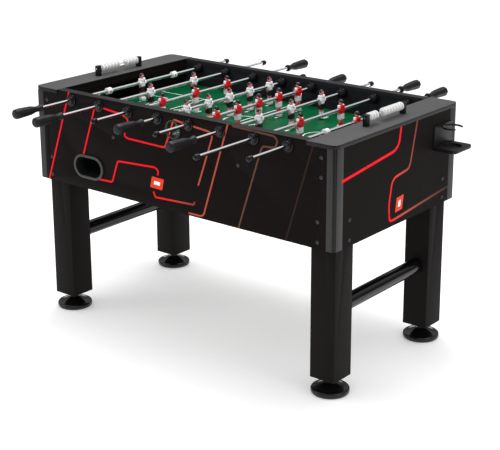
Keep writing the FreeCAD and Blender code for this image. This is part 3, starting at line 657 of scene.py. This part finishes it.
# Sawn softwood under the pitch: pale brown with grain drawn along X.
raw_timber = textured("sawn_softwood", ("#8d6641", "#b98d60"), (0.65, 0.85), 0.003, (30, 1, 1), 0.0002)
# Moulded ABS of the ball channels: dark and plain, with a fine spark-eroded texture.
channel_abs = textured("channel_abs", ("#161617", "#1d1d1e"), (0.42, 0.58), 0.0012, height=0.00003,
                       Specular_IOR_Level=0.15)


def paint(node, finish):
    """Gives a CAD node that keeps its shape a new finish."""
    for material_slot in frame["nodes"][node].material_slots:
        material_slot.material = finish


paint("playfield", pitch_green)
paint("playfield_frame", raw_timber)
paint("ball_runways", channel_abs)

# %% Pitch lines
field_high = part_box("playfield")[1]
FIELD_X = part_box("goal_walls")[1].x - 0.012      # the goal walls are 12 mm thick
LINE = 0.0045
BOX_X, BOX_Y, GOAL_X, GOAL_Y = 0.328, 0.172, 0.455, 0.095
lines = []


def line(x0, x1, y0, y1):
    """A straight line of ink between two places along the table and two across it."""
    corners = (min(x0, x1), min(y0, y1), field_high.z - 0.0001), (max(x0, x1), max(y0, y1), field_high.z + 0.0003)
    lines.append(block("line_%d" % len(lines), *corners, pitch_white, 0.0001, segments=1))


def ring(x, y, radius):
    """A round line of ink about a point."""
    profile = [(-0.0001, radius), (0.0003, radius), (0.0003, radius + LINE), (-0.0001, radius + LINE),
               (-0.0001, radius)]
    lines.append(turn("ring_%d" % len(lines), profile, (x, y, field_high.z), (0, 0, 1), pitch_white, 72))


line(-LINE / 2, LINE / 2, -field_high.y, field_high.y)
ring(0, 0, 0.068)
for side in (-1, 1):
    for x, half in ((BOX_X, BOX_Y), (GOAL_X, GOAL_Y)):
        line(side * x, side * (x + LINE), -half, half)
    for x, half in ((BOX_X, BOX_Y), (GOAL_X, GOAL_Y)):
        for y in (-half, half):
            line(side * x, side * FIELD_X, y - LINE / 2, y + LINE / 2)
    ring(side * 0.355, 0, 0.054)
    choose(lines[-1], "FACE", lambda c, n: abs(c.x) > BOX_X + 0.0005)
    bpy.ops.mesh.delete(type="FACE")
    done(lines[-1])
for rod, marks in enumerate(((0,), (-0.124, 0.124), (-0.23, 0, 0.23), (-0.255, -0.1275, 0, 0.1275, 0.255))):
    for side in (-1, 1):
        x = side * (0.5075 - 0.145 * rod)
        for y in marks:
            line(x - 0.0045, x + 0.0045, y - 0.018, y + 0.018)
pitch_lines = settle(joined("pitch_lines", lines), "cabinet")
print("pitch lines:", len(pitch_lines.data.polygons), "faces")

# %% [markdown]
# ## Bearings
# Each rod runs through the panel in a nylon bearing: a round flange and a glossy rounded boss outside, a nut
# and a rubber bumper inside. All are round, so each is drawn once as a profile and spun, then copied sixteen
# times, half of them turned to the rear.

# %% Bearing finishes
# Moulded black nylon, glossy on the boss: one clear soft reflection and a slightly uneven skin.
bearing_nylon = textured("glossy_black_nylon", ("#07070a", "#0b0b0f"), (0.1, 0.18), 0.004, Specular_IOR_Level=0.2)
# Moulded black rubber: dull, with a fine bloom.
bumper_rubber = textured("moulded_black_rubber", ("#101012", "#17171a"), (0.6, 0.8), 0.0015, height=0.00004,
                         Specular_IOR_Level=0.2)

# %% Bearings
SIDE_THICK = 0.035
rod_xs = [centre_of("rod_%d_tube" % n).x for n in range(1, 9)]
rod_z = centre_of("rod_1_tube").z
inner_y = panel_y - SIDE_THICK
housing_profile = [(-0.0111, 0.0092), (-0.0111, 0.0112), (-0.0105, 0.0132), (-0.0088, 0.0148), (-0.0062, 0.0155),
                   (-0.0046, 0.0157), (-0.0046, 0.0195), (-0.0038, 0.0222), (-0.0018, 0.0230), (0, 0.0230),
                   (0, 0.0120), (0.043, 0.0120), (0.043, 0.0092), (-0.0111, 0.0092)]
housing = turn("housing", housing_profile, (0, -panel_y, rod_z), (0, 1, 0), bearing_nylon, 40, 50)
nut_profile = [(0, 0.0122), (0, 0.0210), (0.0035, 0.0210), (0.0055, 0.0203), (0.0062, 0.0175), (0.0079, 0.0168),
               (0.0079, 0.0122), (0, 0.0122)]
nut = turn("nut", nut_profile, (0, -inner_y, rod_z), (0, 1, 0), bearing_nylon, 40, 50)
bumper_profile = [(0.0080, 0.0070), (0.0080, 0.0140), (0.0100, 0.0148), (0.0150, 0.0142), (0.0200, 0.0148),
                  (0.0240, 0.0150), (0.0280, 0.0145), (0.0300, 0.0128), (0.0300, 0.0070), (0.0080, 0.0070)]
bumper = turn("bumper", bumper_profile, (0, -inner_y, rod_z), (0, 1, 0), bumper_rubber, 40, 50)
for piece, name, node in ((housing, "bearing_bosses", "bearing_housings"), (nut, "bearing_ring_nuts", "bearing_nuts"),
                          (bumper, "rubber_bumpers", "rod_bumpers")):
    copies = []
    for x in rod_xs:
        copies.append(copy_at(piece, "%s_%d" % (name, len(copies)), (x, 0, 0)))
        copies.append(copy_at(piece, "%s_%d" % (name, len(copies)), (x, 0, 0), half_turn=True))
    drop(piece)
    all_of_them = settle(joined(name, copies), "cabinet", node)
    print(name, len(all_of_them.data.polygons), "faces")

# %% [markdown]
# ## Rods
# The rods are chromed steel tube. Their shape is right in CAD, so they only need the metal: a bright cool
# grey with hair-fine marks along the tube, where the figures and the bearings have polished it.

# %% Chrome
# Chromed steel tube: near-mirror, with faint lengthwise wear about 0.5 mm wide.
chrome = textured("chromed_steel_tube", ("#e2e2e6", "#f2f2f4"), (0.06, 0.13), 0.0006, (1, 60, 1), metallic=1.0)
# Black nylon of the sleeve in which the rod slides.
sleeve_nylon = textured("sleeve_nylon", ("#131315", "#1a1a1d"), (0.34, 0.46), 0.001)
for n in range(1, 9):
    paint("rod_%d_tube" % n, chrome)
    paint("rod_%d_sleeves" % n, sleeve_nylon)
print("rods at x =", [round(1000 * x) for x in rod_xs])

# %% [markdown]
# ## Grips and end caps
# A player's grip is moulded in matt black plastic: a collar against the rod, a slim neck, and an eight-sided
# body that swells to a rounded end. It starts as an eight-sided disc, and each further ring is an extrusion
# of its face, scaled to the next width. The cap on the other end is small and acorn-shaped.

# %% Grip finish
# Moulded polypropylene with a spark-eroded texture: nearly matt, with grain under 1 mm, drawn a little coarse.
grip_pp = textured("textured_black_polypropylene", ("#131316", "#1a1a1d"), (0.34, 0.5), 0.0016, height=0.00006,
                   Specular_IOR_Level=0.22)
# The same plastic without texture, for the end caps.
cap_pp = textured("smooth_black_polypropylene", ("#0a0a0e", "#101015"), (0.12, 0.2), 0.003, Specular_IOR_Level=0.22)

# %% Grips and caps
GRIP_LENGTH = 0.130
GRIP_RINGS = [(0.000, 0.0118), (0.002, 0.0142), (0.005, 0.0148), (0.009, 0.0138), (0.016, 0.0112), (0.026, 0.0104),
              (0.036, 0.0112), (0.046, 0.0142), (0.058, 0.0160), (0.084, 0.0172), (0.108, 0.0184), (0.119, 0.0182),
              (0.125, 0.0168), (0.129, 0.0138), (0.130, 0.0095)]


def grip_blank():
    """A grip along +Y from the origin, to be moved to its rod."""
    bpy.ops.object.select_all(action="DESELECT")
    bpy.ops.mesh.primitive_circle_add(vertices=8, radius=GRIP_RINGS[0][1] / cos(pi / 8), fill_type="NGON",
                                      rotation=(pi / 2, 0, 0))
    piece = begin("grip", grip_pp)
    whole()
    for (here, width), (there, next_width) in zip(GRIP_RINGS, GRIP_RINGS[1:]):
        bpy.ops.mesh.extrude_region_move(TRANSFORM_OT_translate={"value": (0, there - here, 0)})
        scale = next_width / width
        bpy.ops.transform.resize(value=(scale, 1, scale), center_override=(0, there, 0))
    bpy.ops.mesh.select_all(action="SELECT")
    bpy.ops.mesh.normals_make_consistent(inside=False)
    bpy.ops.object.mode_set(mode="OBJECT")
    choose(piece, "EDGE", lambda c, d: abs(d.y) > 0.5 and c.y > 0.036)
    bpy.ops.mesh.bevel(offset=0.0022, segments=3, affect="EDGES")
    bpy.ops.object.mode_set(mode="OBJECT")
    modify(piece, "soft_mould_lines", "SUBSURF", levels=1, render_levels=1)
    return done(piece, 40)


grip = grip_blank()
cap_profile = [(-0.022, 0.0064), (-0.022, 0.0092), (-0.0207, 0.0103), (-0.0175, 0.0105), (-0.0158, 0.0098),
               (-0.0145, 0.0104), (-0.009, 0.0103), (-0.005, 0.0092), (-0.002, 0.0066), (-0.0005, 0.0034), (0, 0)]
cap = turn("cap", cap_profile, (0, 0, 0), (0, 1, 0), cap_pp, 28, 40)
for n, x in enumerate(rod_xs, 1):
    node = "rod_%d_grip_and_cap" % n
    low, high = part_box(node)
    front_grip = n in (1, 2, 4, 6)
    grip_at = (x, low.y + GRIP_LENGTH, rod_z) if front_grip else (x, high.y - GRIP_LENGTH, rod_z)
    cap_at = (x, high.y, rod_z) if front_grip else (x, low.y, rod_z)
    ends = joined("rod_%d_grip_and_end_cap" % n, [copy_at(grip, "g", grip_at, half_turn=front_grip),
                                                  copy_at(cap, "c", cap_at, half_turn=not front_grip)])
    settle(ends, "rod_%d" % n, node)
drop(grip, cap)
print("grips and caps on", n, "rods")

# %% [markdown]
# ## Players
# The players are small moulded figures, painted by hand. The same man serves both teams: a torso with arms at
# his sides, clamped on the rod at chest height, shorts, two legs and one block of boots. Each part starts as
# a primitive and is tapered and rounded. Team colours are a second set of paints on the same mesh.

# %% Paints of the players
# Gloss enamel on ABS: even colours, a clean highlight and thin edges where the brush stopped.
def enamel(name, light, dark):
    """A brushed coat of enamel in one colour."""
    return textured(name, (dark, light), (0.24, 0.38), 0.003)


hair_enamel = enamel("black_hair_enamel", "#17161a", "#0e0d10")
skin_enamel = enamel("pink_skin_enamel", "#e38490", "#d87481")
white_enamel = enamel("white_shirt_enamel", "#f1f1f3", "#e6e6ea")
red_enamel = enamel("red_shirt_enamel", "#e0101e", "#cc0b18")
black_enamel_paint = enamel("black_shorts_enamel", "#17181c", "#101114")
white_boot = enamel("white_boot_enamel", "#ececee", "#dfdfe2")
slate_dot = enamel("slate_emblem_enamel", "#3b3f44", "#2e3237")
olive_dot = enamel("olive_emblem_enamel", "#6d6a4c", "#5d5a3f")


# %% One player
def limb(name, top, bottom, top_radius, bottom_radius, finish):
    """An upright limb: a cylinder tapered at its lower end, with both ends rounded."""
    top, bottom = Vector(top), Vector(bottom)
    bpy.ops.object.select_all(action="DESELECT")
    bpy.ops.mesh.primitive_cylinder_add(vertices=12, radius=top_radius, depth=top.z - bottom.z,
                                        location=(top.x, top.y, (top.z + bottom.z) / 2))
    piece = begin(name, finish)
    choose(piece, "FACE", lambda c, n: n.z < -0.9)
    scale = bottom_radius / top_radius
    bpy.ops.transform.resize(value=(scale, scale, 1), center_override=(top.x, top.y, bottom.z))
    bpy.ops.transform.translate(value=(bottom.x - top.x, bottom.y - top.y, 0))
    bpy.ops.object.mode_set(mode="OBJECT")
    return round_edges(piece, min(top_radius, bottom_radius) * 0.45, 2)


def ball(name, centre, radii, finish, segments=20, rings=14):
    """An egg shape, to be cut or pressed into a head, hair, an ear or an eye."""
    bpy.ops.object.select_all(action="DESELECT")
    bpy.ops.mesh.primitive_uv_sphere_add(segments=segments, ring_count=rings, radius=1, location=centre, scale=radii)
    return begin(name, finish)


def player(name, shirt, sleeves, shorts, socks, dot):
    """A player on a rod through the origin, facing +X."""
    parts = [block("torso", (-0.0095, -0.0124, -0.0165), (0.0095, 0.0124, 0.0172), shirt, 0.0040, (0.92, 0.84), 3)]
    parts.append(turn("clamp", [(-0.0176, 0.0066), (-0.0176, 0.0084), (-0.0160, 0.0098), (0.0160, 0.0098),
                                (0.0176, 0.0084), (0.0176, 0.0066)], (0, 0, 0), (0, 1, 0), shirt, 20))
    for side in (-1, 1):
        parts.append(limb("sleeve", (0, side * 0.0120, 0.0176), (0, side * 0.0126, -0.0045), 0.0056, 0.0052, sleeves))
        parts.append(limb("forearm", (0, side * 0.0138, -0.001), (0.0014, side * 0.0132, -0.0195), 0.0036, 0.0030,
                          skin_enamel))
        parts.append(limb("thigh", (0, side * 0.0056, -0.030), (0.0003, side * 0.0058, -0.0475), 0.0054, 0.0047,
                          skin_enamel))
        parts.append(limb("sock", (0.0003, side * 0.0058, -0.0455), (0, side * 0.0060, -0.0625), 0.0053, 0.0047,
                          socks))
    hips = block("shorts", (-0.0086, -0.0112, -0.0370), (0.0086, 0.0112, -0.0145), shorts, 0.0025, (1.0, 1.02), 3)
    choose(hips, "FACE", lambda c, n: n.z < -0.9)
    bpy.ops.mesh.inset(thickness=0.0016)
    bpy.ops.mesh.extrude_region_move(TRANSFORM_OT_translate={"value": (0, 0, 0.003)})
    parts.append(done(hips))
    boots = block("boots", (-0.0088, -0.0118, -0.0700), (0.0108, 0.0118, -0.0580), white_boot, 0.002, (1.0, 1.0), 2)
    choose(boots, "FACE", lambda c, n: n.x > 0.9)
    bpy.ops.transform.resize(value=(1, 0.86, 0.6), center_override=(0.0108, 0, -0.0700))
    parts.append(done(boots))
    parts.append(limb("neck", (0, 0, 0.0235), (0, 0, 0.0140), 0.0040, 0.0046, skin_enamel))
    parts.append(turn("collar", [(0.0150, 0.0040), (0.0150, 0.0064), (0.0172, 0.0058), (0.0172, 0.0040)], (0, 0, 0),
                      (0, 0, 1), shirt, 20))
    head = ball("head", (0.0005, 0, 0.0270), (0.0090, 0.0082, 0.0102), skin_enamel)
    choose(head, "FACE", lambda c, n: c.x > 0.0046 and c.z < 0.023)
    bpy.ops.transform.resize(value=(0.94, 0.80, 1.0), center_override=(0.0005, 0, 0.0270))
    parts.append(done(head, 60))
    hair = ball("hair", (-0.0006, 0, 0.0284), (0.0102, 0.0092, 0.0098), hair_enamel)
    choose(hair, "FACE", lambda c, n: c.z < 0.0275 - 0.35 * c.x and c.x > -0.0075 or c.z < 0.0235
           or (c.x > 0.0050 and c.z < 0.0325))
    bpy.ops.mesh.delete(type="FACE")
    bpy.ops.object.mode_set(mode="OBJECT")
    modify(hair, "hair_depth", "SOLIDIFY", thickness=0.0012, offset=-1)
    parts.append(done(hair, 50))
    for side in (-1, 1):
        ear = ball("ear", (-0.0002, side * 0.0083, 0.0265), (0.0020, 0.0012, 0.0027), skin_enamel, 10, 8)
        parts.append(done(ear, 60))
        eye = ball("eye", (0.0086, side * 0.0029, 0.0285), (0.0008, 0.0011, 0.0009), hair_enamel, 8, 6)
        parts.append(done(eye, 60))
    parts.append(limb("nose", (0.0091, 0, 0.0282), (0.0099, 0, 0.0240), 0.0010, 0.0015, skin_enamel))
    parts.append(turn("emblem", [(0.0090, 0.0), (0.0102, 0.0), (0.0102, 0.0022), (0.0098, 0.0027), (0.0090, 0.0027)],
                      (0, 0.0040, 0.0060), (1, 0, 0), dot, 12))
    return joined(name, parts)


white_player = player("white_player", white_enamel, white_enamel, black_enamel_paint, white_boot, slate_dot)
red_player = player("red_player", red_enamel, white_enamel, white_boot, red_enamel, olive_dot)
print("one player:", len(white_player.data.polygons), "faces")

# %% [markdown]
# The goalkeepers' rods also carry a white stop collar at each side, a plain ring with a raised middle and a
# clamp screw. The players are copied along the rods at the places where CAD has them.

# %% Teams on their rods
collar_ring = turn("collar_ring", [(-0.0110, 0.0065), (-0.0110, 0.0118), (-0.0098, 0.0128), (-0.0060, 0.0128),
                                   (-0.0048, 0.0119), (0.0048, 0.0119), (0.0060, 0.0128), (0.0098, 0.0128),
                                   (0.0110, 0.0118), (0.0110, 0.0065)], (0, 0, 0), (0, 1, 0), white_enamel, 32)
collar_screw = turn("collar_screw", [(0.0110, 0.0), (0.0122, 0.0), (0.0122, 0.0016), (0.0130, 0.0018), (0.0130, 0.0032),
                                     (0.0110, 0.0034)], (0, 0, 0), (1, 0, 0), slate_dot, 14)
collar_ring = joined("collar_ring", [collar_ring, collar_screw])
COLLAR_OFFSET = 0.185
MEN_AND_SPACING = ((1, 0), (2, 0.248), (3, 0.187), (5, 0.121), (5, 0.121), (3, 0.187), (2, 0.248), (1, 0))
for n, (x, (count, spacing)) in enumerate(zip(rod_xs, MEN_AND_SPACING), 1):
    node = "rod_%d_figures" % n
    middle_y = centre_of(node).y
    is_white = n in (1, 2, 4, 6)
    man = white_player if is_white else red_player
    row = [copy_at(man, "m", (x, middle_y + (i - (count - 1) / 2) * spacing, rod_z), half_turn=not is_white)
           for i in range(count)]
    if count == 1:
        row += [copy_at(collar_ring, "k", (x, middle_y + side * COLLAR_OFFSET, rod_z)) for side in (-1, 1)]
    settle(joined("rod_%d_players" % n, row), "rod_%d" % n, node)
drop(white_player, red_player, collar_ring)
print("22 players placed")

# %% [markdown]
# ## Scorers
# At each end, ten white beads slide on a chromed wire between two black posts. A bead has a wide rounded rim
# and a narrow hub on both sides, so a row of them looks ribbed. One bead is turned on the lathe and copied.

# %% Scorers
# Moulded white ABS: bright, smooth, with a soft broad highlight.
bead_abs = textured("moulded_white_abs", ("#cfcfce", "#dcdcdb"), (0.28, 0.42), 0.003, Specular_IOR_Level=0.3)
# Moulded black ABS of the posts: satin, with a fine texture.
post_abs = textured("satin_black_abs", ("#0d0d0e", "#131314"), (0.34, 0.48), 0.0012, height=0.00003,
                    Specular_IOR_Level=0.25)
BEAD_PITCH = 0.0176
BEAD_PROFILE = [(0.0001, 0.0026), (0.0001, 0.0078), (0.0030, 0.0084), (0.0046, 0.0130), (0.0060, 0.0148),
                (0.0112, 0.0148), (0.0126, 0.0130), (0.0142, 0.0084), (0.0171, 0.0078), (0.0171, 0.0026)]
bead = turn("bead", BEAD_PROFILE, (0, 0, 0), (0, 1, 0), bead_abs, 32, 50)
for node, count in (("left_scorer_beads_front", 6), ("left_scorer_beads_rear", 4), ("right_scorer_beads_front", 3),
                    ("right_scorer_beads_rear", 7)):
    middle, start_y = centre_of(node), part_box(node)[0].y
    pile = joined(node.replace("beads", "bead_row"), [
        copy_at(bead, "b", (middle.x, start_y + BEAD_PITCH * i, middle.z)) for i in range(count)])
    settle(pile, body_of[node], node)
drop(bead)
cad_copy("scorer_posts", "scorer_stands", post_abs, 0.0012)
paint("scorer_wires", chrome)
print("20 beads placed")

# %% [markdown]
# ## Ball return, ball entry and cup holders
# The ball return has a grey oval rim round a black opening, and the ball is thrown in through a dark dish.
# The cup holder is one black moulding: a plate, an open ring and a tray. CAD has their shapes, and a bevel
# gives their edges the soft radius of a mould.

# %% Mouldings
# Grey moulded ABS for the rim of the ball return, darker inside.
rim_abs = textured("grey_moulded_abs", ("#3b3b3a", "#444443"), (0.36, 0.5), 0.0015, height=0.00003,
                   Specular_IOR_Level=0.15)
# Black moulded plastic of the entry dish, glossy. Its mottled dark green-grey colour is a painted reflection of the
# green pitch.
dish_plastic_with_painted_reflection = textured("dish_plastic_painted_green_reflection", ("#171b18", "#2b352e"), (0.18, 0.34), 0.012, Specular_IOR_Level=0.3)
# Black moulded ABS of the cup holders, with a pearly spark-eroded texture about 1.5 mm, drawn coarse.
cup_abs = textured("textured_black_abs", ("#0e0e0f", "#19191a"), (0.3, 0.52), 0.0025, height=0.0001,
                   Specular_IOR_Level=0.18)
bezels = cad_copy("ball_return_bezels", "ball_return_rims", channel_abs, 0.0015)
refinish(bezels, rim_abs, lambda c, n: abs(c.y) > panel_y + 0.0005)
# The entry dish's green-grey mottling is a painted reflection of the pitch, not the plastic's own colour.
cad_copy("ball_entry_cups", "ball_entry_dishes", dish_plastic_with_painted_reflection, 0.0008)
cup_holders = cad_copy("cup_holders", "cup_holder_mouldings", cup_abs, 0.0012)
print("mouldings:", bezels.name, cup_holders.name)

# %% [markdown]
# ## Braces, feet and screws
# A gloss-enamelled tube joins the legs at each end. Each foot is a glossy black disc with a coned top and a
# short neck, and it screws up and down on its stud. The panel screws have small domed heads with a socket.

# %% Braces and feet
# Black gloss enamel on steel tube: deep and mirror-like, with slight orange peel about 6 mm across.
tube_enamel = textured("black_gloss_enamel", ("#09090a", "#0e0e0f"), (0.1, 0.2), 0.006, height=0.00005,
                       Specular_IOR_Level=0.35)
# Glossy moulded polypropylene of the feet.
foot_gloss = textured("glossy_black_polypropylene", ("#080809", "#0e0e10"), (0.12, 0.24), 0.008,
                      Specular_IOR_Level=0.4)
# Zinc-plated steel of the foot's stud.
stud_steel = textured("zinc_plated_steel", ("#7f8185", "#9b9da1"), (0.28, 0.45), 0.001, metallic=1.0)
paint("leg_braces", tube_enamel)
FOOT_PROFILE = [(0, 0), (0, 0.062), (0.0015, 0.0655), (0.005, 0.0678), (0.013, 0.0680), (0.0168, 0.0668),
                (0.0190, 0.0640), (0.0196, 0.0600), (0.0198, 0.0560), (0.0235, 0.0470), (0.0300, 0.0340),
                (0.0340, 0.0245), (0.0362, 0.0180), (0.0375, 0.0165), (0.0400, 0.0155), (0.0430, 0.0150),
                (0.0440, 0.0140), (0.0440, 0.0)]
THREAD = [(0.0455 + 0.0012 * i, 0.0060 - 0.0007 * (i % 2)) for i in range(12)]
STUD_PROFILE = [(0.043, 0.0), (0.043, 0.0060), *THREAD, (0.060, 0.0060), (0.0915, 0.0060), (0.0918, 0.0)]
foot = turn("foot", FOOT_PROFILE, (0, 0, 0), (0, 0, 1), foot_gloss, 64, 35)
stud = turn("stud", STUD_PROFILE, (0, 0, 0), (0, 0, 1), stud_steel, 20, 35)
foot = joined("foot", [foot, stud])
for node in ("foot_front_left", "foot_rear_left", "foot_front_right", "foot_rear_right"):
    pad = copy_at(foot, node.replace("foot", "levelling_foot"), (*centre_of(node).xy, 0))
    settle(pad, node, node)
drop(foot)
print("four feet, pads at the floor")

# %% Screw heads
# Black-oxide steel: dark grey, half dull.
oxide_steel = textured("black_oxide_steel", ("#343537", "#454648"), (0.35, 0.5), 0.001, metallic=0.6)
HEAD_PROFILE = [(0.0002, 0.0071), (0.0010, 0.0069), (0.0024, 0.0058), (0.0034, 0.0036), (0.0034, 0.0030),
                (0.0014, 0.0028), (0.0014, 0.0)]
socket_head = turn("socket_head", HEAD_PROFILE, (0, 0, 0), (0, -1, 0), oxide_steel, 24, 30)
end_head = turn("end_head", HEAD_PROFILE, (0, 0, 0), (1, 0, 0), oxide_steel, 24, 30)
LEG_BOLTS_Z, BLOCK_SCREWS_Z, LEDGER_SCREW = (0.567, 0.637), (0.791, 0.858), (0.294, 0.769)
leg_x, leg_y = centre_of("foot_rear_right").xy
heads = []
for sx in (-1, 1):
    spots = [(sx * leg_x, z) for z in LEG_BOLTS_Z] + [(sx * leg_x * 1.02, z) for z in BLOCK_SCREWS_Z]
    spots.append((sx * LEDGER_SCREW[0], LEDGER_SCREW[1]))
    for x, z in spots:
        heads.append(copy_at(socket_head, "h", (x, -panel_y, z)))
        heads.append(copy_at(socket_head, "h", (x, panel_y, z), half_turn=True))
    for sy in (-1, 1):
        for z in LEG_BOLTS_Z:
            heads.append(copy_at(end_head, "h", (sx * end_x, sy * leg_y, z), half_turn=sx < 0))
drop(socket_head, end_head)
settle(joined("screw_heads", heads), "cabinet", "panel_screws")
print(len(heads), "screw heads")

# %% [markdown]
# ## Last look
# The box round everything that renders, except the floor, is printed in millimetres.

# %% Sizes and finish
low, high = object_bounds()
print("visual box", [round(1000 * v) for v in low], [round(1000 * v) for v in high], "mm")
